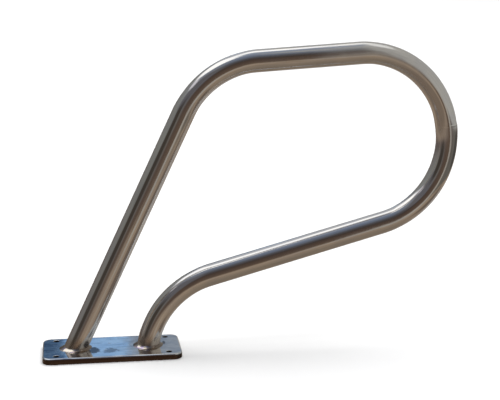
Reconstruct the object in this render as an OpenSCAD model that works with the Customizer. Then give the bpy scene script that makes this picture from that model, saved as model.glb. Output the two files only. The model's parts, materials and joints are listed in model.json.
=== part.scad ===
// Pool handrail: one closed loop of polished stainless tube welded on to a bolted base plate.
// Frame: X runs along the rail towards the water, Z is up, and the rail lies in the plane Y = 0.
// The origin is the centre of the base plate's underside. Lengths are millimetres, angles degrees.
// A direction in the rail's plane is its angle from +X, turning towards +Z.

/* [Tube] */
// Outer diameter of the rail tube
tube_od = 48.3; // [42.4:0.1:50.8]
// Wall thickness of the rail tube
tube_wall = 1.65; // [1.2:0.05:3]
// Centreline radius of every bend
bend_r = 190; // [180:1:190]

/* [Rail outline] */
// Distance between the two feet, centre to centre
foot_spread = 156; // [150:1:160]
// Slope of the long leg above the deck
leg_angle = 65.4; // [65.2:0.1:68]
// Straight run of the long leg, from the plate to the knee bend
leg_run = 556; // [554:1:570]
// Upward slope of the top run towards the water
top_angle = 4.4; // [4:0.1:6]
// Straight run of the top, between the knee bend and the end loop
top_run = 220; // [205:1:229]
// Downward slope of the lower run, from the end loop back to the short foot
return_slope = 15.6; // [15:0.1:15.8]
// Lean of the short foot away from upright
foot_lean = 11; // [11:0.1:14]

/* [Base plate] */
// Length of the plate, along the rail
plate_l = 295; // [285:1:310]
// Width of the plate
plate_w = 127; // [120:1:140]
// Thickness of the plate
plate_t = 12.7; // [10:0.1:16]
// Radius of the plate's four corners
plate_corner_r = 18; // [8:1:20]
// Diameter of the four anchor-bolt holes
hole_d = 12; // [10:0.5:14]
// Spacing of the holes along the rail
hole_spacing_l = 238; // [234:1:244]
// Spacing of the holes across the rail
hole_spacing_w = 95; // [88:1:98]
// Bevel that breaks the upper edge of each hole
hole_bevel = 0.8; // [0.5:0.1:1.5]

/* [Joint and welds] */
// Gap between the two tubes' ends, filled by the ring weld
root_gap = 2; // [1.5:0.1:3]
// Length of the alignment sleeve inside the joint
sleeve_l = 60; // [40:1:80]
// Wall thickness of the sleeve
sleeve_wall = 2; // [1.5:0.1:3]
// Radial clearance between the sleeve and the tube's bore
sleeve_gap = 0.1; // [0.05:0.05:0.3]
// Width of the ring weld's cap
bead_w = 6; // [4:0.5:10]
// Height of the ring weld's cap above the tube
bead_h = 0.3; // [0.2:0.05:0.8]
// Reach of each foot's fillet weld over the plate
fillet_reach = 8.5; // [6:0.5:9]
// Height that each foot's fillet weld climbs up the tube
fillet_rise = 5.5; // [4:0.5:7]

/* [Hidden] */
$fn = 96;

tube_r = tube_od / 2;
bore_r = tube_r - tube_wall;
sleeve_r = bore_r - sleeve_gap;
// Half-size of a block that covers a whole bend
reach = bend_r + tube_od;

// How far each bend turns; both halves of the end loop turn alike, and the tubes meet between them
knee_turn = leg_angle - top_angle;
half_loop_turn = (180 + top_angle - return_slope) / 2;
foot_angle = 90 - foot_lean;
heel_turn = foot_angle - return_slope;

// A point [x, z] moved a distance along a direction
function along(p, dir, dist) = [p.x + dist * cos(dir), p.y + dist * sin(dir)];
// Where a bend from one direction to another ends; side is 1 for a clockwise bend, -1 for the other
function past_arc(p, from, to, side) =
    along(along(p, from - 90 * side, bend_r), to + 90 * side, bend_r);
// The part of an angle's bend that a length of centreline takes up
function sweep(length) = length / bend_r * 180 / PI;

// The feet's centres on the plate, and the lower end of the end loop
long_foot = [-foot_spread / 2, plate_t];
short_foot = [foot_spread / 2, plate_t];
top_start = past_arc(along(long_foot, leg_angle, leg_run), leg_angle, top_angle, 1);
loop_end = past_arc(along(top_start, top_angle, top_run), top_angle, return_slope - 180, 1);

// A length to the nearest hundredth, as it would be cut
function cut_length(length) = round(100 * length) / 100;
// The short foot and the lower run close the outline: two unknown lengths, two equations
heel_span = past_arc([0, 0], foot_angle, return_slope, 1);
closing = loop_end - short_foot - heel_span;
foot_run = cut_length((closing.y * cos(return_slope) - closing.x * sin(return_slope)) / sin(heel_turn));
lower_run = cut_length((closing.x * sin(foot_angle) - closing.y * cos(foot_angle)) / sin(heel_turn));

// Each piece of tube starts at [0, 0, 0] and runs along +Z, and a bend on side 1 curls towards +X

// Puts +Z along a direction from a point of the rail's plane
module stand(p, dir) {
    translate([p.x, 0, p.y]) rotate([0, 90 - dir, 0]) children();
}

module past_run(length) {
    translate([0, 0, length]) children();
}

module past_bend(turn, side) {
    translate([side * bend_r, 0, 0]) rotate([0, side * turn, 0]) translate([-side * bend_r, 0, 0]) children();
}

// Straight tube; before adds length behind its start
module run(length, before = 0) {
    translate([0, 0, -before])
        difference() {
            cylinder(h = length + before, r = tube_r);
            translate([0, 0, -1]) cylinder(h = length + before + 2, r = bore_r);
        }
}

// Ring section of a tube, set off from the axis that a bend turns about, and turned
// so that its starting point lies on +X in a bend to either side, as a straight tube's does
module bend_section(ro, ri, side = 1) {
    translate([bend_r, 0])
        rotate(90 + 90 * side)
            difference() {
                circle(r = ro);
                circle(r = ri);
            }
}

// Bent tube: half a turn, cut off where the bend ends
module bend(turn, side) {
    difference() {
        translate([side * bend_r, 0, 0])
            rotate([90, 0, 0])
                rotate_extrude(angle = 180) bend_section(tube_r, bore_r, side);
        past_bend(turn, side) translate([side * bend_r - reach, -reach, 0]) cube(2 * reach);
    }
}

// Takes away everything below the plate's upper face, so that a foot stands flush on it
module cope() {
    difference() {
        children();
        translate([-reach, -reach, plate_t - 2 * reach]) cube(2 * reach);
    }
}

module plate_outline() {
    x = plate_l / 2 - plate_corner_r;
    y = plate_w / 2 - plate_corner_r;
    square([plate_l, 2 * y], center = true);
    square([2 * x, plate_w], center = true);
    for (i = [-1, 1], j = [-1, 1])
        translate([i * x, j * y]) circle(r = plate_corner_r);
}

module anchor_hole() {
    translate([0, 0, -1]) cylinder(h = plate_t + 2, d = hole_d);
    translate([0, 0, plate_t - hole_bevel])
        cylinder(h = 2 * hole_bevel, d1 = hole_d, d2 = hole_d + 4 * hole_bevel);
}

module base_plate() {
    color([0.74, 0.78, 0.84])
        difference() {
            linear_extrude(plate_t) plate_outline();
            for (i = [-1, 1], j = [-1, 1])
                translate([i * hole_spacing_l / 2, j * hole_spacing_w / 2, 0]) anchor_hole();
        }
}

// Long leg, knee bend, top run and the upper half of the end loop
module upper_rail_tube() {
    color([0.62, 0.62, 0.61])
        cope()
            stand(long_foot, leg_angle) {
                run(leg_run, tube_od);
                past_run(leg_run) {
                    bend(knee_turn, 1);
                    past_bend(knee_turn, 1) {
                        run(top_run);
                        past_run(top_run) bend(half_loop_turn - sweep(root_gap / 2), 1);
                    }
                }
            }
}

// Short foot, heel bend, lower run and the lower half of the end loop
module lower_rail_tube() {
    color([0.56, 0.56, 0.55])
        cope()
            stand(short_foot, foot_angle) {
                run(foot_run, tube_od);
                past_run(foot_run) {
                    bend(heel_turn, 1);
                    past_bend(heel_turn, 1) {
                        run(lower_run);
                        past_run(lower_run) bend(half_loop_turn - sweep(root_gap / 2), -1);
                    }
                }
            }
}

// Puts the origin at the joint, with +Z along the tube and the loop's centre on +X
module at_joint() {
    stand(long_foot, leg_angle)
        past_run(leg_run) past_bend(knee_turn, 1)
            past_run(top_run) past_bend(half_loop_turn, 1) children();
}

// Ring section swept along the loop, from one angle to another, counted from the joint
module loop_arc(from, to, ro, ri) {
    translate([bend_r, 0, 0])
        rotate([90, 0, 0])
            rotate([0, 0, 180 - to])
                rotate_extrude(angle = to - from) bend_section(ro, ri);
}

// Alignment sleeve, rolled to the loop's radius, that carries both tube ends inside the joint
module joint_sleeve() {
    color([0.5, 0.5, 0.5])
        at_joint()
            loop_arc(-sweep(sleeve_l / 2), sweep(sleeve_l / 2), sleeve_r, sleeve_r - sleeve_wall);
}

// Ring weld: it fills the gap down to the sleeve, and its cap laps over both tubes
module joint_weld() {
    root = sweep(root_gap / 2);
    lap = sweep(bead_w / 2);
    color([0.7, 0.7, 0.7])
        at_joint()
            difference() {
                loop_arc(-lap, lap, tube_r + bead_h, sleeve_r);
                loop_arc(root, 2 * lap, tube_r, sleeve_r - 1);
                loop_arc(-2 * lap, -root, tube_r, sleeve_r - 1);
            }
}

// Fillet weld round a tube that stands on the plate at this centre and leans at this angle
module foot_weld(centre, angle) {
    long_r = tube_r / sin(angle);
    rim = 0.4;
    color([0.72, 0.7, 0.72])
        difference() {
            hull() {
                translate([centre.x, 0, plate_t])
                    scale([long_r + fillet_reach, tube_r + fillet_reach, 1]) cylinder(h = rim, r = 1, $fn = 64);
                translate([centre.x + fillet_rise / tan(angle), 0, plate_t + fillet_rise - rim])
                    scale([long_r + rim, tube_r + rim, 1]) cylinder(h = rim, r = 1, $fn = 64);
            }
            stand(centre, angle) translate([0, 0, -tube_od]) cylinder(h = 2 * tube_od, r = tube_r);
        }
}

module long_leg_weld() {
    foot_weld(long_foot, leg_angle);
}

module short_leg_weld() {
    foot_weld(short_foot, foot_angle);
}

base_plate();
upper_rail_tube();
lower_rail_tube();
joint_sleeve();
joint_weld();
long_leg_weld();
short_leg_weld();
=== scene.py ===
import json
import math

import bmesh
import bpy
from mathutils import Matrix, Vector

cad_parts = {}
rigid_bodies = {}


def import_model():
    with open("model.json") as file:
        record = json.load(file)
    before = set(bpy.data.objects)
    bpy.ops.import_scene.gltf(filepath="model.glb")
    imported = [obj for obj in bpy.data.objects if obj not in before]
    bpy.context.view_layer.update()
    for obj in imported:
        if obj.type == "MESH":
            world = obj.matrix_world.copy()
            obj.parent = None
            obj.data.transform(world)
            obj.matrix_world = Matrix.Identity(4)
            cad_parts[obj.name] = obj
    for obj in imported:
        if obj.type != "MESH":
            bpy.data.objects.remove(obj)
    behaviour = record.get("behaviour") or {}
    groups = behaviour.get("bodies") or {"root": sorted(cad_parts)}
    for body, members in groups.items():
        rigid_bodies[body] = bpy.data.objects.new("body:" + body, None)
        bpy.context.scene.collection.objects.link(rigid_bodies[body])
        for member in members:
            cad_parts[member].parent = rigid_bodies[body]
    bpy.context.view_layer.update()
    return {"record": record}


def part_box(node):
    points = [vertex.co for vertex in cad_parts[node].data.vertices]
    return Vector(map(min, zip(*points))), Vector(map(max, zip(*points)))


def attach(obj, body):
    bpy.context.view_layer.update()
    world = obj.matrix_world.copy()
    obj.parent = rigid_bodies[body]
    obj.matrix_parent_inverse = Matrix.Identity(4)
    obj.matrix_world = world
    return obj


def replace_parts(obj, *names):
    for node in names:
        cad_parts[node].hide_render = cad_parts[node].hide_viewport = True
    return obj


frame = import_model()

# ------------------------------------------------------------------ sizes, in metres and degrees
PLATE_LOW, PLATE_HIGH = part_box("base_plate")
PLATE_L = PLATE_HIGH.x - PLATE_LOW.x
PLATE_W = PLATE_HIGH.y - PLATE_LOW.y
DECK = PLATE_HIGH.z
TUBE_LOW, TUBE_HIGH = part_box("lower_rail_tube")
TUBE_R = (TUBE_HIGH.y - TUBE_LOW.y) / 2
WALL = 0.00165

# The rail's outline, in the order that the upper tube runs: it repeats the CAD design's dimensions
BEND_R = 0.190
FOOT_X = 0.078
LEG_ANGLE = 65.4
LEG_RUN = 0.556
TOP_ANGLE = 4.4
TOP_RUN = 0.220
RETURN_SLOPE = 15.6
FOOT_ANGLE = 79.0
FOOT_RUN = 0.00708
LOWER_RUN = 0.39649
HALF_LOOP = (180 + TOP_ANGLE - RETURN_SLOPE) / 2
ROOT_GAP = 0.002
GAP_TURN = math.degrees(ROOT_GAP / 2 / BEND_R)

# How much a bend flattens the tube, over what length that comes and goes, and the tubes' mesh steps
FLATTENING = 0.036
FLATTENING_FADE = 0.040
RING_STEP = 0.004
SIDES = 96
# A foot's first ring lies on the plate. The next one is at least this many tube radii above it
NEXT_RING = 0.62

# The plate: rounded corners, eased upper edges, broken lower edges, and bevelled holes with rims. The
# bevel's middle is a share of its size
PLATE_CORNER_R = 0.018
PLATE_CORNER_STEPS = 12
PLATE_EDGE_IN = 0.0038
PLATE_EDGE_DOWN = 0.0024
PLATE_EDGE_STEPS = 6
PLATE_EDGE_RIM = 0.0004
BROKEN_EDGE = 0.0006
HOLE_BEVEL = 0.0011
HOLE_BEVEL_MIDDLE = 0.3
HOLE_RIM = 0.0003
HOLE_SIDES = 48

# The leg welds: reach on the plate, rise on the tube, and how hollow their faces are
WELD_REACH = 0.0078
WELD_RISE = 0.0050
HOLLOW = 0.45
WELD_PROUD = 0.00005
WELD_BITE = 0.0006
WELD_SIDES = 128
WELD_STEPS = 10
# What makes them uneven: amount, waves round the foot, and phase
UNEVEN = ((0.07, 4, 0.6), (0.04, 9, 0.0))

# The joint's bead. It is dressed down to this part of its height towards the loop's inner side
BEAD_WIDTH = 0.0050
BEAD_HEIGHT = 0.00050
BEAD_DRESSED = 0.03
BEAD_LIP = 0.00003
BEAD_SHOULDER = 0.0001
BEAD_ROOT = 0.00175
BEAD_STEPS = 12

# Corners sharper than this are shaded as corners
SHARP_ANGLE = math.radians(32)

BOLTS = next(m for m in frame["record"]["mounts"] if m["name"] == "anchor_bolts")["dims"]
HOLE_R = BOLTS["hole_r_mm"] / 1000
HOLE_X = BOLTS["spacing_x_mm"] / 2000
HOLE_Y = BOLTS["spacing_y_mm"] / 2000

# ------------------------------------------------------------------ where finishes change, in metres
# Along a tube from its foot, from bright to satin and back to bright. The lower tube ends in it
SATIN = (0.86, 0.93, 1.10, 1.20)
# Above the plate, from the weld's heat to clean tube, and from the leg welds to the joint's bead
HEAT_ENDS = (DECK + 0.012, DECK + 0.036)
LEG_WELDS_END = (DECK + 0.01, DECK + 0.03)
# Round a leg weld, as shares of the turn: the front-left part painted bright as a highlight; the rest is
# painted brown-grey as shade
PAINTED_HIGHLIGHT_TURNS = (0.50, 0.58, 0.68, 0.77)
# On the plate: where its sides begin below the top, and where the holes' bores begin
SIDE_BEGINS = (DECK - 0.0034, DECK - 0.0018)
BORE_BEGINS = (DECK - 0.0014, DECK - 0.0009)
BORES_WITHIN_X = (0.135, 0.137)
BORES_WITHIN_Y = (0.057, 0.059)
# On the plate's top: the end where the painted reflection of dim surroundings is strongest
DIM_REFLECTION_END = (-0.10, -0.07)
# Stains on the plate's top: centre and half-size, each as x, y, and strength
STAINS = (
    ((-0.040, -0.021), (0.012, 0.019), 0.95),
    ((-0.004, -0.025), (0.016, 0.014), 0.60),
    ((0.113, 0.010), (0.003, 0.009), 0.80),
)


# ------------------------------------------------------------------ meshes
def linked(name, data):
    """A new object, put in the scene."""
    thing = bpy.data.objects.new(name, data)
    bpy.context.scene.collection.objects.link(thing)
    return thing


def as_piece(name, mesh, material):
    """A smooth-shaded piece on the root body, with its corners kept sharp."""
    for face in mesh.polygons:
        face.use_smooth = True
    mesh.set_sharp_from_angle(angle=SHARP_ANGLE)
    mesh.materials.append(material)
    piece = linked(name, mesh)
    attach(piece, "root")
    return piece


def new_piece(name, verts, faces, uvs, material):
    """A piece from plain lists. uvs holds one (u, v) for each corner of each face.

    They are in metres on a tube, and shares of the way round and over on a weld.
    """
    mesh = bpy.data.meshes.new(name)
    mesh.from_pydata(verts, [], faces)
    layer = mesh.uv_layers.new(name="metres")
    for corner, uv in zip(layer.data, uvs):
        corner.uv = uv
    mesh.validate()
    return as_piece(name, mesh, material)


class Route:
    """A centreline in the rail's plane, as rings.

    A ring is its x, z and direction, and the flattening of its first and far sides.
    """

    def __init__(self, x, z, angle):
        self.x, self.z, self.angle = x, z, math.radians(angle)
        self.rings = [(x, z, self.angle, 0.0, 0.0)]

    def run(self, length):
        steps = max(2, math.ceil(length / RING_STEP))
        for i in range(1, steps + 1):
            d = length * i / steps
            x, z = self.x + d * math.cos(self.angle), self.z + d * math.sin(self.angle)
            self.rings.append((x, z, self.angle, 0.0, 0.0))
        self.x, self.z = self.rings[-1][:2]

    def bend(self, turn, flat_end=False):
        """Turns by an angle, positive anticlockwise. The section flattens a little inside the bend.

        With flat_end, the far side stays flat up to the bend's end.
        """
        side = math.copysign(1, turn)
        sweep = math.radians(abs(turn))
        cx = self.x - side * BEND_R * math.sin(self.angle)
        cz = self.z + side * BEND_R * math.cos(self.angle)
        steps = math.ceil(sweep * BEND_R / RING_STEP)
        start = self.angle
        for i in range(1, steps + 1):
            a = start + side * sweep * i / steps
            flats = []
            for near in (min(i, steps - i), i if flat_end else min(i, steps - i)):
                t = min(near * sweep * BEND_R / steps / FLATTENING_FADE, 1.0)
                flats.append(FLATTENING * t * t * (3 - 2 * t))
            x = cx + side * BEND_R * math.sin(a)
            z = cz - side * BEND_R * math.cos(a)
            self.rings.append((x, z, a, *flats))
        self.x, self.z, self.angle = self.rings[-1][:3]


def ring_points(ring, radius):
    """Points round one ring. The first lies on the side that a clockwise bend curls towards."""
    x, z, a, first_flat, far_flat = ring
    across = (math.sin(a), -math.cos(a))
    points = []
    for k in range(SIDES):
        t = 2 * math.pi * k / SIDES
        c = math.cos(t)
        c *= radius * (1 - (first_flat if c > 0 else far_flat))
        points.append((x + across[0] * c, radius * math.sin(t), z + across[1] * c))
    return points


def coped(points, angle):
    """Slides the points of a foot's first ring along the tube on to the plate's face."""
    return [(x + (DECK - z) / math.tan(angle), y, DECK) for x, y, z in points]


def tube(name, route, material):
    """A hollow tube swept along a route, standing on the plate at its start and square at its end."""
    rings = route.rings
    lengths = [0.0]
    for p, q in zip(rings, rings[1:]):
        lengths.append(lengths[-1] + math.dist(p[:2], q[:2]))
    second = next(i for i, ring in enumerate(rings) if ring[1] - DECK > TUBE_R * NEXT_RING)
    kept = [0] + list(range(second, len(rings)))
    verts, rows = [], []
    for radius in (TUBE_R, TUBE_R - WALL):
        for i in kept:
            points = ring_points(rings[i], radius)
            if i == 0:
                points = coped(points, rings[0][2])
            rows.append(len(verts))
            verts += points
    faces, uvs = [], []
    count = len(kept)
    girth = 2 * math.pi * TUBE_R

    def strip(a, b, ua, ub, flip):
        for k in range(SIDES):
            n = (k + 1) % SIDES
            quad = (rows[a] + k, rows[a] + n, rows[b] + n, rows[b] + k)
            va, vb = girth * k / SIDES, girth * (k + 1) / SIDES
            corner = ((ua, va), (ua, vb), (ub, vb), (ub, va))
            faces.append(quad[::-1] if flip else quad)
            uvs.extend(corner[::-1] if flip else corner)

    for j in range(count - 1):
        ua, ub = lengths[kept[j]], lengths[kept[j + 1]]
        strip(j, j + 1, ua, ub, False)
        strip(count + j, count + j + 1, ua, ub, True)
    strip(0, count, 0, WALL, True)
    strip(count - 1, 2 * count - 1, lengths[-1], lengths[-1] + WALL, False)
    return new_piece(name, verts, faces, uvs, material)


# ------------------------------------------------------------------ node helpers
class Nodes:
    """Short forms for building a node tree. A value is a number, a colour or a node's socket."""

    def __init__(self, tree):
        self.tree = tree
        tree.nodes.clear()

    def add(self, kind, **settings):
        node = self.tree.nodes.new(kind)
        for key, value in settings.items():
            setattr(node, key, value)
        return node

    def link(self, source, target):
        self.tree.links.new(source, target)

    def put(self, value, socket):
        if isinstance(value, bpy.types.NodeSocket):
            self.link(value, socket)
        else:
            socket.default_value = value

    def place(self, output="Object"):
        return self.add("ShaderNodeTexCoord").outputs[output]

    def uv(self):
        return self.add("ShaderNodeUVMap", uv_map="metres").outputs["UV"]

    def split(self, vector):
        node = self.add("ShaderNodeSeparateXYZ")
        self.link(vector, node.inputs[0])
        return node.outputs

    def math(self, operation, a, b=0.0):
        node = self.add("ShaderNodeMath", operation=operation)
        self.put(a, node.inputs[0])
        self.put(b, node.inputs[1])
        return node.outputs[0]

    def chain(self, operation, values):
        result = values[0]
        for value in values[1:]:
            result = self.math(operation, result, value)
        return result

    def total(self, *parts):
        return self.chain("ADD", parts)

    def product(self, *factors):
        return self.chain("MULTIPLY", factors)

    def largest(self, *values):
        return self.chain("MAXIMUM", values)

    def smooth(self, value, low, high, to_low=0.0, to_high=1.0):
        node = self.add("ShaderNodeMapRange", interpolation_type="SMOOTHSTEP")
        self.put(value, node.inputs["Value"])
        node.inputs["From Min"].default_value = low
        node.inputs["From Max"].default_value = high
        node.inputs["To Min"].default_value = to_low
        node.inputs["To Max"].default_value = to_high
        return node.outputs[0]

    def window(self, value, rise_from, rise_to, fall_from, fall_to):
        """1 between a smooth rise and a smooth fall, and 0 outside them."""
        rise = self.smooth(value, rise_from, rise_to)
        return self.product(rise, self.smooth(value, fall_from, fall_to, 1.0, 0.0))

    def oval_reach(self, x, y, centre, half):
        """The square of the distance from an oval's centre, with 1 on its edge."""
        dx = self.product(self.math("SUBTRACT", x, centre[0]), 1 / half[0])
        dy = self.product(self.math("SUBTRACT", y, centre[1]), 1 / half[1])
        return self.total(self.product(dx, dx), self.product(dy, dy))

    def mix(self, factor, a, b):
        """Blends two colours, which the Mix node has as inputs 6 and 7 and output 2."""
        node = self.add("ShaderNodeMix", data_type="RGBA")
        self.put(factor, node.inputs["Factor"])
        self.put(a, node.inputs[6])
        self.put(b, node.inputs[7])
        return node.outputs[2]

    def noise(self, vector, scale, detail=2.0, roughness=0.5):
        node = self.add("ShaderNodeTexNoise")
        self.link(vector, node.inputs["Vector"])
        node.inputs["Scale"].default_value = scale
        node.inputs["Detail"].default_value = detail
        node.inputs["Roughness"].default_value = roughness
        return node.outputs["Fac"]

    def drawn_noise(self, vector, scales, detail=2.0, roughness=0.5):
        """Noise with its own scale along each axis."""
        node = self.add("ShaderNodeMapping")
        self.link(vector, node.inputs["Vector"])
        node.inputs["Scale"].default_value = scales
        return self.noise(node.outputs["Vector"], 1.0, detail, roughness)

    def ramp(self, value, stops):
        node = self.add("ShaderNodeValToRGB")
        self.put(value, node.inputs["Fac"])
        elements = node.color_ramp.elements
        while len(elements) < len(stops):
            elements.new(0.5)
        for element, (position, colour) in zip(elements, stops):
            element.position = position
            element.color = colour
        return node.outputs["Color"]

    def bump(self, height, distance, strength, normal=None):
        node = self.add("ShaderNodeBump")
        self.link(height, node.inputs["Height"])
        node.inputs["Distance"].default_value = distance
        node.inputs["Strength"].default_value = strength
        if normal is not None:
            self.link(normal, node.inputs["Normal"])
        return node.outputs["Normal"]


def display(*colour):
    """Display values to the linear colour that the shaders use."""
    return (*(c / 12.92 if c <= 0.04045 else ((c + 0.055) / 1.055) ** 2.4 for c in colour), 1)


def new_material(name):
    material = bpy.data.materials.new(name)
    material.use_nodes = True
    nodes = Nodes(material.node_tree)
    shader = nodes.add("ShaderNodeBsdfPrincipled")
    output = nodes.add("ShaderNodeOutputMaterial")
    nodes.link(shader.outputs["BSDF"], output.inputs["Surface"])
    return material, nodes, shader


def new_metal(name):
    material, nodes, shader = new_material(name)
    shader.inputs["Metallic"].default_value = 1.0
    return material, nodes, shader


# ------------------------------------------------------------------ materials
TUBE_WARM = display(0.965, 0.955, 0.94)
TUBE_COOL = display(0.935, 0.93, 0.93)
TUBE_LINES = display(0.84, 0.82, 0.79)
TUBE_GRAIN = display(0.80, 0.79, 0.77)
TUBE_HEATED = display(0.82, 0.74, 0.65)
# Painted reflection: a bluish tint that stands in for the sky mirrored in the plate's top
PLATE_PAINTED_SKY_BLUE = display(0.86, 0.89, 0.93)
PLATE_WHITE = display(0.96, 0.97, 0.98)
# Painted reflection: darker blue-grey that stands in for the dim surroundings mirrored in the plate's top
PLATE_PAINTED_DIM_REFLECTION = display(0.55, 0.60, 0.68)
PLATE_SPECKS = display(0.42, 0.42, 0.44)
PLATE_STAINED = display(0.27, 0.28, 0.32)
# Painted reflection: the plate's sides are painted dark brown, as the dark ground they mirror
SIDE_PAINTED_REFLECTION_DARK = display(0.34, 0.27, 0.235)
SIDE_PAINTED_REFLECTION_PALE = display(0.48, 0.40, 0.36)
# Painted shade inside the holes' bores
BORE_PAINTED_SHADE = display(0.17, 0.16, 0.15)
# Painted highlight with heat tint: the bright near-white, straw and violet part of a leg weld
HIGHLIGHT_AND_HEAT_TINTS = (
    (0.30, display(0.93, 0.92, 0.90)),
    (0.48, display(0.94, 0.90, 0.83)),
    (0.60, display(0.80, 0.74, 0.88)),
    (0.74, display(0.92, 0.92, 0.93)),
)
# Painted shade: the rest of a leg weld, in brown-grey
WELD_PAINTED_SHADE = display(0.56, 0.51, 0.47)
BEAD_BRIGHT = display(0.95, 0.945, 0.935)
MILL_DARK = display(0.62, 0.61, 0.60)
MILL_PALE = display(0.72, 0.71, 0.70)
FLOOR_LOW, FLOOR_HIGH = (0.86, 0.86, 0.86, 1), (0.88, 0.88, 0.88, 1)
WALL_LOW, WALL_HIGH = (0.98, 0.98, 0.98, 1), (1, 1, 1, 1)


def polished_tube():
    """Hand-polished tube: fine lines run along it, with hazy patches and a slightly wavy surface."""
    material, n, shader = new_metal("polished_tube")
    uv, place = n.uv(), n.place()
    along = n.split(uv)[0]
    above = n.split(place)[2]
    lines = n.drawn_noise(uv, (7, 340, 1), 4.0, 0.65)
    grain = n.drawn_noise(uv, (30, 1500, 1), 3.0, 0.6)
    scuffs = n.drawn_noise(uv, (60, 420, 1), 4.0, 0.65)
    patches = n.noise(place, 16.0, 3.0, 0.55)
    near_weld = n.smooth(above, *HEAT_ENDS, 1.0, 0.0)
    satin = n.window(along, *SATIN)

    colour = n.mix(n.smooth(patches, 0.35, 0.65), TUBE_WARM, TUBE_COOL)
    colour = n.mix(n.smooth(lines, 0.50, 0.72, 0.0, 0.55), colour, TUBE_LINES)
    colour = n.mix(n.smooth(grain, 0.55, 0.75, 0.0, 0.3), colour, TUBE_GRAIN)
    n.link(n.mix(n.product(near_weld, 0.7), colour, TUBE_HEATED), shader.inputs["Base Color"])

    haze = n.total(
        n.smooth(patches, 0.3, 0.7, 0.06, 0.11),
        n.smooth(scuffs, 0.45, 0.75, 0.0, 0.05),
        n.product(satin, 0.11),
        n.product(near_weld, 0.17),
        n.smooth(lines, 0.3, 0.7, -0.01, 0.04),
    )
    n.link(haze, shader.inputs["Roughness"])
    waves = n.bump(n.noise(place, 28.0, 1.0), 0.0005, 0.35)
    drawn = n.bump(lines, 0.00006, 0.5, waves)
    n.link(n.bump(grain, 0.00002, 0.5, drawn), shader.inputs["Normal"])
    shader.inputs["Anisotropic"].default_value = 0.35
    return material


def polished_plate():
    """Mirror-polished top with a slight roll, swirls and a few stains. A bluish tint and darker streaks
    towards one end are painted reflection of the surroundings. The sides are painted dark brown as a
    reflection of dark ground and are rougher, and the bores are painted dark as shade.
    """
    material, n, shader = new_metal("polished_plate")
    place = n.place()
    x, y, z = n.split(place)
    swirls = n.drawn_noise(place, (260, 900, 260), 3.0, 0.6)
    streaks = n.drawn_noise(place, (30, 120, 30), 3.0, 0.6)
    marks = n.noise(place, 85.0, 4.0, 0.7)
    patches = n.noise(place, 24.0, 3.0, 0.6)
    uneven = n.product(n.math("SUBTRACT", marks, 0.5), 5.0)

    def stain(centre, half, strength):
        reach = n.total(n.oval_reach(x, y, centre, half), uneven)
        return n.smooth(reach, 0.6, 1.4, strength, 0.0)

    stained = n.largest(*(stain(*row) for row in STAINS))
    # The sides' mask: their colour is painted dark brown as a reflection of the dark ground, and they are
    # made rougher
    side = n.smooth(z, *SIDE_BEGINS, 1.0, 0.0)
    # Painted shade: the bores below their bevels are painted dark, as the shade inside the holes
    bore = n.product(
        n.smooth(n.math("ABSOLUTE", x), *BORES_WITHIN_X, 1.0, 0.0),
        n.smooth(n.math("ABSOLUTE", y), *BORES_WITHIN_Y, 1.0, 0.0),
        n.smooth(z, *BORE_BEGINS, 1.0, 0.0),
    )

    # Painted reflection: darker blue-grey streaks, strongest at the −X end, stand in for the dim
    # surroundings the top mirrors
    painted_dim_reflection = n.product(n.smooth(streaks, 0.46, 0.64), n.smooth(x, *DIM_REFLECTION_END, 0.75, 0.35))
    # Painted reflection: the bluish tint, in random patches with white, stands in for the sky the top
    # mirrors
    colour = n.mix(n.smooth(patches, 0.35, 0.65), PLATE_PAINTED_SKY_BLUE, PLATE_WHITE)
    colour = n.mix(painted_dim_reflection, colour, PLATE_PAINTED_DIM_REFLECTION)
    colour = n.mix(n.smooth(marks, 0.62, 0.70, 0.0, 0.5), colour, PLATE_SPECKS)
    colour = n.mix(stained, colour, PLATE_STAINED)
    # Painted reflection of the dark ground on the sides
    colour = n.mix(side, colour, n.mix(streaks, SIDE_PAINTED_REFLECTION_DARK, SIDE_PAINTED_REFLECTION_PALE))
    n.link(n.mix(bore, colour, BORE_PAINTED_SHADE), shader.inputs["Base Color"])

    haze = n.total(
        n.smooth(patches, 0.3, 0.7, 0.045, 0.08),
        n.smooth(swirls, 0.4, 0.7, 0.0, 0.03),
        n.smooth(marks, 0.6, 0.72, 0.0, 0.2),
        n.product(stained, 0.08),
        n.product(side, 0.2),
    )
    n.link(haze, shader.inputs["Roughness"])
    roll = n.bump(n.drawn_noise(place, (24, 34, 24)), 0.00035, 0.5)
    n.link(n.bump(swirls, 0.00001, 0.4, roll), shader.inputs["Normal"])
    return material


def weld_metal():
    """Leg welds painted brown-grey as shade, with a front-left part painted bright as a highlight in
    near-white, straw and violet heat tints; a bright joint bead.
    """
    material, n, shader = new_metal("weld_metal")
    place = n.place()
    heat = n.noise(place, 60.0)
    highlight_and_heat_tint = n.ramp(heat, HIGHLIGHT_AND_HEAT_TINTS)
    on_bead = n.smooth(n.split(place)[2], *LEG_WELDS_END)
    turn = n.total(n.split(n.uv())[0], n.product(n.math("SUBTRACT", heat, 0.5), 0.1))
    # Painted light: each leg weld's front-left part is painted bright as a highlight, the rest brown-grey
    # as shade
    colour = n.mix(n.window(turn, *PAINTED_HIGHLIGHT_TURNS), WELD_PAINTED_SHADE, highlight_and_heat_tint)
    n.link(n.mix(on_bead, colour, BEAD_BRIGHT), shader.inputs["Base Color"])
    n.link(n.smooth(n.noise(place, 240.0, 3.0), 0.35, 0.7, 0.07, 0.17), shader.inputs["Roughness"])
    rippled = n.math("SUBTRACT", 1.0, n.product(on_bead, 0.9))
    ripples = n.product(n.noise(place, 330.0), rippled)
    n.link(n.bump(ripples, 0.0002, 0.5), shader.inputs["Normal"])
    return material


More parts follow.
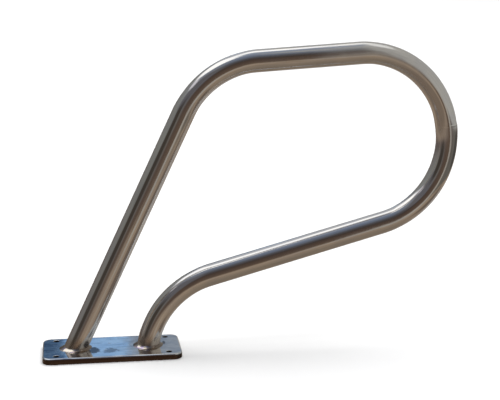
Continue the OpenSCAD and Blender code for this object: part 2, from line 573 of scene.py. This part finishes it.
def mill_steel():
    """Plain drawn steel, with lines round it and dull patches."""
    material, n, shader = new_metal("mill_steel")
    place = n.place()
    grain = n.drawn_noise(place, (400, 40, 400), 3.0)
    patches = n.noise(place, 30.0, 3.0)
    n.link(n.mix(patches, MILL_DARK, MILL_PALE), shader.inputs["Base Color"])
    n.link(n.smooth(grain, 0.3, 0.7, 0.35, 0.5), shader.inputs["Roughness"])
    n.link(n.bump(grain, 0.00003, 0.5), shader.inputs["Normal"])
    return material


def pale_floor():
    material, n, shader = new_material("pale_floor")
    n.link(n.mix(n.noise(n.place(), 5.0), FLOOR_LOW, FLOOR_HIGH), shader.inputs["Base Color"])
    shader.inputs["Roughness"].default_value = 0.9
    shader.inputs["Specular IOR Level"].default_value = 0.1
    return material


def white_backdrop():
    material = bpy.data.materials.new("white_backdrop")
    material.use_nodes = True
    n = Nodes(material.node_tree)
    light = n.add("ShaderNodeEmission")
    n.link(n.mix(n.noise(n.place(), 0.05, 1.0), WALL_LOW, WALL_HIGH), light.inputs["Color"])
    n.link(light.outputs[0], n.add("ShaderNodeOutputMaterial").inputs["Surface"])
    return material


# ------------------------------------------------------------------ the rail
TUBE_METAL = polished_tube()
PLATE_METAL = polished_plate()
WELD_METAL = weld_metal()
MILL_STEEL = mill_steel()

upper = Route(-FOOT_X, DECK, LEG_ANGLE)
upper.run(LEG_RUN)
upper.bend(TOP_ANGLE - LEG_ANGLE)
upper.run(TOP_RUN)
upper.bend(GAP_TURN - HALF_LOOP, flat_end=True)
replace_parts(tube("upper_tube", upper, TUBE_METAL), "upper_rail_tube")

lower = Route(FOOT_X, DECK, FOOT_ANGLE)
lower.run(FOOT_RUN)
lower.bend(RETURN_SLOPE - FOOT_ANGLE)
lower.run(LOWER_RUN)
lower.bend(HALF_LOOP - GAP_TURN)
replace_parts(tube("lower_tube", lower, TUBE_METAL), "lower_rail_tube")

# The loop's joint, where the tubes meet
JOINT_ANGLE = math.radians(TOP_ANGLE - HALF_LOOP)
LOOP_CENTRE = (
    upper.x - BEND_R * math.cos(upper.angle + math.pi / 2),
    upper.z - BEND_R * math.sin(upper.angle + math.pi / 2),
)


def closed_weld(name, rows):
    """A weld from rows of points round it. Each row is the closed outline of its section there."""
    around, count = len(rows), len(rows[0])
    faces, uvs = [], []
    for k in range(around):
        n = (k + 1) % around
        for i in range(count):
            j = (i + 1) % count
            faces.append((k * count + i, n * count + i, n * count + j, k * count + j))
            left, right, low, high = k / around, (k + 1) / around, i / count, (i + 1) / count
            uvs.extend(((left, low), (right, low), (right, high), (left, high)))
    verts = [point for row in rows for point in row]
    return new_piece(name, verts, faces, uvs, WELD_METAL)


def ring_weld():
    """The joint's bead, dressed almost flush, that steps from the flattened tube to the round one."""
    profile = []
    for i in range(BEAD_STEPS + 1):
        t = -1 + 2 * i / BEAD_STEPS
        profile.append((t * BEAD_WIDTH / 2, BEAD_HEIGHT * (1 - t * t) ** 1.5 - BEAD_LIP))
    for side, depth in ((1, BEAD_SHOULDER), (1, BEAD_ROOT), (-1, BEAD_ROOT), (-1, BEAD_SHOULDER)):
        profile.append((side * ROOT_GAP / 2, -depth))
    rows = []
    for k in range(SIDES):
        t = 2 * math.pi * k / SIDES
        outer = (1 - math.cos(t)) / 2
        proud = BEAD_DRESSED + (1 - BEAD_DRESSED) * outer ** 4
        row = []
        for along, out in profile:
            part = min(1.0, max(0.0, 0.5 + along / BEAD_WIDTH))
            flat = FLATTENING * (1 - part * part * (3 - 2 * part)) if math.cos(t) < 0 else 0.0
            out = out * proud if out > 0 else out
            in_plane = (TUBE_R * (1 - flat) + out) * math.cos(t)
            turned = JOINT_ANGLE - along / BEND_R + math.pi / 2
            far = BEND_R - in_plane
            x = LOOP_CENTRE[0] + far * math.cos(turned)
            z = LOOP_CENTRE[1] + far * math.sin(turned)
            row.append((x, (TUBE_R + out) * math.sin(t), z))
        rows.append(row)
    return closed_weld("joint_bead", rows)


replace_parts(ring_weld(), "joint_weld")


def foot_weld(name, node, foot_x, angle):
    """A slightly concave fillet round a foot, its toe on the plate and its top on the tube."""
    a = math.radians(angle)
    inside = TUBE_R - WELD_BITE
    rows = []
    for k in range(WELD_SIDES):
        t = 2 * math.pi * k / WELD_SIDES
        uneven = sum((amount * math.sin(waves * t + phase) for amount, waves, phase in UNEVEN), 1.0)
        row = []
        for i in range(WELD_STEPS + 1):
            s, up = math.pi / 2 * i / WELD_STEPS, i / WELD_STEPS
            out = WELD_REACH * uneven * (HOLLOW * (1 - math.sin(s)) + (1 - HOLLOW) * (1 - up))
            rise = WELD_RISE * uneven * (HOLLOW * (1 - math.cos(s)) + (1 - HOLLOW) * up)
            x = foot_x + rise / math.tan(a) + (TUBE_R / math.sin(a) + out + WELD_PROUD) * math.cos(t)
            row.append((x, (TUBE_R + out + WELD_PROUD) * math.sin(t), DECK + rise))
        for rise in (WELD_RISE * uneven, 0.0):
            x = foot_x + rise / math.tan(a) + inside / math.sin(a) * math.cos(t)
            row.append((x, inside * math.sin(t), DECK + rise))
        rows.append(row)
    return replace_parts(closed_weld(name, rows), node)


foot_weld("long_leg_fillet", "long_leg_weld", -FOOT_X, LEG_ANGLE)
foot_weld("short_leg_fillet", "short_leg_weld", FOOT_X, FOOT_ANGLE)


# ------------------------------------------------------------------ the base plate
def rounded_outline(inset):
    """The plate's outline moved inwards, anticlockwise from the corner at +X, +Y."""
    hx, hy = PLATE_L / 2 - PLATE_CORNER_R, PLATE_W / 2 - PLATE_CORNER_R
    r = PLATE_CORNER_R - inset
    points = []
    for corner, (sx, sy) in enumerate(((1, 1), (-1, 1), (-1, -1), (1, -1))):
        for i in range(PLATE_CORNER_STEPS + 1):
            t = math.pi / 2 * (corner + i / PLATE_CORNER_STEPS)
            points.append((sx * hx + r * math.cos(t), sy * hy + r * math.sin(t)))
    return points


def hole_outline(hole_x, hole_y, radius):
    turns = [2 * math.pi * k / HOLE_SIDES for k in range(HOLE_SIDES)]
    return [(hole_x + radius * math.cos(t), hole_y + radius * math.sin(t)) for t in turns]


def walls(bm, outlines, inward=False):
    """Vertices on a stack of (outline, z) rows of equal length, with faces between the rows."""
    loops = [[bm.verts.new((x, y, z)) for x, y in outline] for outline, z in outlines]
    for below, above in zip(loops, loops[1:]):
        for i in range(len(below)):
            j = (i + 1) % len(below)
            if inward:
                bm.faces.new((below[j], below[i], above[i], above[j]))
            else:
                bm.faces.new((below[i], below[j], above[j], above[i]))
    return loops


def plate():
    """The plate with its upper edges eased, its lower edges broken, and four holes with bright rims."""
    bm = bmesh.new()
    layers = [(BROKEN_EDGE, PLATE_LOW.z), (0.0, PLATE_LOW.z + BROKEN_EDGE)]
    for i in range(PLATE_EDGE_STEPS + 1):
        s = math.pi / 2 * i / PLATE_EDGE_STEPS
        layers.append((PLATE_EDGE_IN * (1 - math.cos(s)), DECK - PLATE_EDGE_DOWN * (1 - math.sin(s))))
    layers.append((PLATE_EDGE_IN + PLATE_EDGE_RIM, DECK))
    stacks = [walls(bm, [(rounded_outline(inset), z) for inset, z in layers])]
    bevel_middle = HOLE_BEVEL * HOLE_BEVEL_MIDDLE
    bore = (
        (HOLE_R + BROKEN_EDGE, PLATE_LOW.z),
        (HOLE_R, PLATE_LOW.z + BROKEN_EDGE),
        (HOLE_R, DECK - HOLE_BEVEL),
        (HOLE_R + bevel_middle, DECK - bevel_middle),
        (HOLE_R + HOLE_BEVEL, DECK),
        (HOLE_R + HOLE_BEVEL + HOLE_RIM, DECK),
    )
    for hole_x in (-HOLE_X, HOLE_X):
        for hole_y in (-HOLE_Y, HOLE_Y):
            rounds = [(hole_outline(hole_x, hole_y, radius), z) for radius, z in bore]
            stacks.append(walls(bm, rounds, inward=True))
    for level in (0, -1):
        edges = []
        for ring in (stack[level] for stack in stacks):
            edges += [bm.edges.get((ring[i], ring[(i + 1) % len(ring)])) for i in range(len(ring))]
        bmesh.ops.triangle_fill(bm, edges=edges, use_beauty=True, use_dissolve=False)
    bmesh.ops.recalc_face_normals(bm, faces=bm.faces)
    mesh = bpy.data.meshes.new("plate")
    bm.to_mesh(mesh)
    bm.free()
    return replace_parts(as_piece("plate", mesh, PLATE_METAL), "base_plate")


plate()

# The sleeve is hidden, so its CAD solid stays, with its own finish
sleeve = next(o for o in bpy.context.scene.objects if o.name.startswith("joint_sleeve"))
sleeve.data.materials.clear()
sleeve.data.materials.append(MILL_STEEL)


# ------------------------------------------------------------------ floor and backdrop
FLOOR_HALF = 45.0
FLOOR_DROP = 0.0005
BACKDROP_R = 40.0
BACKDROP_LOW, BACKDROP_HIGH = -1.0, 45.0
BACKDROP_SIDES = 64


def floor():
    mesh = bpy.data.meshes.new("floor")
    corners = ((-1, -1), (1, -1), (1, 1), (-1, 1))
    verts = [(x * FLOOR_HALF, y * FLOOR_HALF, PLATE_LOW.z - FLOOR_DROP) for x, y in corners]
    mesh.from_pydata(verts, [], [(0, 1, 2, 3)])
    mesh.materials.append(pale_floor())
    piece = linked("floor", mesh)
    piece.visible_glossy = False


floor()


def backdrop():
    """A plain white wall far behind everything. Only the camera sees it."""
    turns = [2 * math.pi * k / BACKDROP_SIDES for k in range(BACKDROP_SIDES)]
    verts = [
        (BACKDROP_R * math.cos(t), BACKDROP_R * math.sin(t), z)
        for z in (BACKDROP_LOW, BACKDROP_HIGH)
        for t in turns
    ]
    faces = []
    for k in range(BACKDROP_SIDES):
        n = (k + 1) % BACKDROP_SIDES
        faces.append((k, n, BACKDROP_SIDES + n, BACKDROP_SIDES + k))
    mesh = bpy.data.meshes.new("backdrop")
    mesh.from_pydata(verts, [], faces)
    mesh.materials.append(white_backdrop())
    wall = linked("backdrop", mesh)
    wall.visible_diffuse = False
    wall.visible_glossy = False
    wall.visible_transmission = False
    wall.visible_volume_scatter = False
    wall.visible_shadow = False


backdrop()


# ------------------------------------------------------------------ what the metal mirrors
# All angles are in degrees and all colours are display values. A bearing is 0 straight away from the
# camera and 90 on the right. from_back is 0 behind the camera and 90 on the left. A stretch is low,
# high, and the softness of each end.

# The surroundings' colour by elevation
SURROUNDINGS = (
    (-90, (0.42, 0.38, 0.335)),
    (-60, (0.46, 0.415, 0.365)),
    (-40, (0.51, 0.455, 0.40)),
    (-26, (0.545, 0.485, 0.42)),
    (-14, (0.51, 0.455, 0.40)),
    (-8, (0.37, 0.33, 0.31)),
    (-3, (0.35, 0.325, 0.31)),
    (4, (0.42, 0.405, 0.395)),
    (15, (0.44, 0.44, 0.43)),
    (32, (0.48, 0.485, 0.48)),
    (46, (0.46, 0.47, 0.50)),
    (62, (0.43, 0.455, 0.50)),
    (78, (0.485, 0.515, 0.57)),
    (90, (0.55, 0.59, 0.65)),
)
# The dim house behind the camera, and the dusky sky over it
HOUSE = (
    (-22, (0.40, 0.345, 0.295)),
    (-8, (0.335, 0.28, 0.24)),
    (4, (0.30, 0.25, 0.22)),
    (14, (0.285, 0.235, 0.205)),
    (26, (0.245, 0.212, 0.197)),
    (37, (0.275, 0.262, 0.27)),
    (48, (0.325, 0.335, 0.365)),
    (60, (0.38, 0.41, 0.475)),
    (74, (0.435, 0.47, 0.54)),
)
# Soft ovals: centre and half-size as bearing and elevation, softness, raggedness, and colour.
# The first ones, on the left, lie behind the clouds: dusky foliage, a gap of light, and a tree
LEFT_OVALS = (
    ((-130, 33), (36, 19), 0.5, 0.6, (0.35, 0.345, 0.36)),
    ((-83, 43), (20, 5), 0.5, 0.4, (0.78, 0.77, 0.79)),
    ((-123, 8), (20, 18), 0.7, 0.6, (0.23, 0.21, 0.19)),
)
# These, on the right, lie over the wall: a bright cloud, three dim patches at the wall's foot, and a
# pale one on the ground
RIGHT_OVALS = (
    ((66, 64), (42, 8), 0.5, 0.8, (0.95, 0.95, 0.94)),
    ((103, -15), (47, 12), 0.15, 0.3, (0.36, 0.345, 0.325)),
    ((80, -13), (24, 8), 0.4, 0.3, (0.265, 0.26, 0.25)),
    ((104, -36), (26, 8), 0.6, 0.5, (0.39, 0.345, 0.31)),
    ((40, -34), (42, 9), 0.6, 0.9, (0.58, 0.56, 0.54)),
)
# Areas, each as a stretch across and a stretch up: the house, shaded ground and a pale post beside
# it, a paler gap between the clouds ahead, and the wall on the right
HOUSE_AREA = ((-26, 30, 4, 16), (-17, 70, 2.5, 14))
SHADE_AREA = ((4, 125, 3, 12), (-75, -18, 8, 3))
POST_AREA = ((-31, -17, 3, 1.2), (-26, 6, 3, 2))
GAP_AREA = ((-16, 12, 5, 4), (24, 56, 2, 3))
WALL_AREA = ((9, 160, 5, 5), (-3, 74, 1.2, 6))
SHADE = (0.43, 0.38, 0.335)
POST = (0.58, 0.56, 0.53)
GAP = (0.66, 0.67, 0.69)
PALE_WALL = (0.60, 0.595, 0.58)
WHITE = (1.0, 1.0, 1.0)
# The house's base is this much higher on its left, and rises between these bearings from behind
BASE_RISE = 8.0
BASE_RISES = (-9, 3)
# The low sky that the plate mirrors: its stretch up, then stretches across with their colours
LOW_SKY = (15.5, 24, 1.0, 1.0)
LOW_SKY_LEFT = ((-14, 1.5, 2, 2), (0.27, 0.36, 0.46))
LOW_SKY_RIGHT = ((3, 14, 0.2, 2), (0.50, 0.53, 0.57))
LOW_SKY_MIDDLE = ((-0.35, 3.25, 0.2, 0.1), (0.535, 0.66, 0.79))
# The clouds: stretch across, lower edge and top. The left one's edge sags away from its crest
LEFT_CLOUD = (-140, -20, 9, 6)
LEFT_CLOUD_EDGE = (36, 45)
CREST_BEARING = -38.0
SAG = 0.0055
FRONT_CLOUD = (-20, 40, 6, 8)
FRONT_CLOUD_EDGE = (52, 61)
CLOUD_TOP = (76, 84)
# How far, in degrees, ragged noise moves the edges that follow the level
RAGGED = 7.0
SURROUND_STRENGTH = 1.12


def soft_world():
    """Soft surroundings: pale wall on the right, bright cloud high on the left, dim house behind."""
    world = bpy.data.worlds.new("soft_world")
    bpy.context.scene.world = world
    world.use_nodes = True
    n = Nodes(world.node_tree)
    direction = n.place("Generated")
    x, y, z = n.split(direction)
    to_degrees = 180 / math.pi
    ragged = n.math("SUBTRACT", n.noise(direction, 4.0, 5.0, 0.6), 0.5)
    elevation = n.product(n.math("ARCSINE", z), to_degrees)
    level = n.total(elevation, n.product(ragged, RAGGED))
    bearing = n.product(n.math("ARCTAN2", x, y), to_degrees)
    from_back = n.product(n.math("ARCTAN2", n.product(x, -1.0), n.product(y, -1.0)), to_degrees)

    def inside(value, low, high, soft_low, soft_high):
        return n.window(value, low - soft_low, low + soft_low, high - soft_high, high + soft_high)

    def by_height(value, rows):
        stops = [((height + 90) / 180, display(*row)) for height, row in rows]
        return n.ramp(n.product(n.total(value, 90.0), 1 / 180), stops)

    def area(across, up, stretches):
        return n.product(inside(across, *stretches[0]), inside(up, *stretches[1]))

    def with_ovals(colour, rows):
        for centre, half, soft, wild, tone in rows:
            reach = n.total(n.oval_reach(bearing, elevation, centre, half), n.product(ragged, wild))
            colour = n.mix(n.smooth(reach, 1 - soft, 1 + soft, 1.0, 0.0), colour, display(*tone))
        return colour

    def with_low_sky(colour, across, tone):
        return n.mix(n.product(low_sky, inside(bearing, *across)), colour, display(*tone))

    low_sky = inside(elevation, *LOW_SKY)
    cloud_top = n.smooth(level, *CLOUD_TOP, 1.0, 0.0)
    colour = by_height(level, SURROUNDINGS)

    above_base = n.math("SUBTRACT", level, n.smooth(from_back, *BASE_RISES, 0.0, BASE_RISE))
    house = area(from_back, above_base, HOUSE_AREA)
    colour = n.mix(house, colour, by_height(elevation, HOUSE))
    colour = n.mix(area(from_back, elevation, SHADE_AREA), colour, display(*SHADE))
    colour = n.mix(area(from_back, level, POST_AREA), colour, display(*POST))
    colour = with_ovals(colour, LEFT_OVALS)

    from_crest = n.total(bearing, -CREST_BEARING)
    over_edge = n.math("SUBTRACT", level, n.product(from_crest, from_crest, SAG))
    left_cloud = n.product(n.smooth(over_edge, *LEFT_CLOUD_EDGE), inside(bearing, *LEFT_CLOUD), cloud_top)
    colour = n.mix(left_cloud, colour, display(*WHITE))
    colour = n.mix(area(bearing, elevation, GAP_AREA), colour, display(*GAP))
    colour = with_low_sky(colour, *LOW_SKY_LEFT)

    colour = n.mix(area(bearing, level, WALL_AREA), colour, display(*PALE_WALL))
    front_cloud = n.product(n.smooth(level, *FRONT_CLOUD_EDGE), inside(bearing, *FRONT_CLOUD), cloud_top)
    colour = n.mix(front_cloud, colour, display(*WHITE))
    colour = with_low_sky(colour, *LOW_SKY_RIGHT)
    colour = with_low_sky(colour, *LOW_SKY_MIDDLE)
    colour = with_ovals(colour, RIGHT_OVALS)

    background = n.add("ShaderNodeBackground")
    n.link(colour, background.inputs["Color"])
    background.inputs["Strength"].default_value = SURROUND_STRENGTH
    n.link(background.outputs[0], n.add("ShaderNodeOutputWorld").inputs["Surface"])


soft_world()


# ------------------------------------------------------------------ light and camera
LAMP_STRENGTH = 3.1
LAMP_SPREAD = 70
LAMP_TILT = (-14, 12, 0)
SENSOR = 36.0
FOCAL_IN_WIDTHS = 2.0902
CLIP_END = 200
CAMERA_AT = (-0.0876, -2.1673, 0.7989)
# How far the camera is turned right, tilted down and rolled, in degrees
CAMERA_TURNS = (10.102, 12.015, 0.906)


def overhead_light():
    """One broad, soft light that falls evenly on the floor and isn't mirrored in the metal."""
    data = bpy.data.lights.new("overhead_light", "SUN")
    data.energy = LAMP_STRENGTH
    data.angle = math.radians(LAMP_SPREAD)
    lamp = linked("overhead_light", data)
    lamp.rotation_euler = [math.radians(a) for a in LAMP_TILT]
    lamp.visible_glossy = False


overhead_light()


def camera():
    """A long lens a little left of the rail's middle, looking slightly right and down at it."""
    data = bpy.data.cameras.new("camera")
    data.sensor_width = SENSOR
    data.lens = FOCAL_IN_WIDTHS * SENSOR
    data.clip_end = CLIP_END
    view = linked("camera", data)
    yaw, pitch, roll = (math.radians(a) for a in CAMERA_TURNS)
    ahead = math.cos(pitch)
    forward = Vector((math.sin(yaw) * ahead, math.cos(yaw) * ahead, -math.sin(pitch)))
    level = Vector((math.cos(yaw), -math.sin(yaw), 0))
    up = level.cross(forward)
    right = math.cos(roll) * level + math.sin(roll) * up
    up = math.cos(roll) * up - math.sin(roll) * level
    matrix = view.matrix_world.copy()
    for row in range(3):
        matrix[row][0], matrix[row][1], matrix[row][2] = right[row], up[row], -forward[row]
    view.matrix_world = matrix
    view.location = CAMERA_AT
    bpy.context.scene.camera = view


camera()
bpy.context.scene.view_settings.view_transform = "Standard"
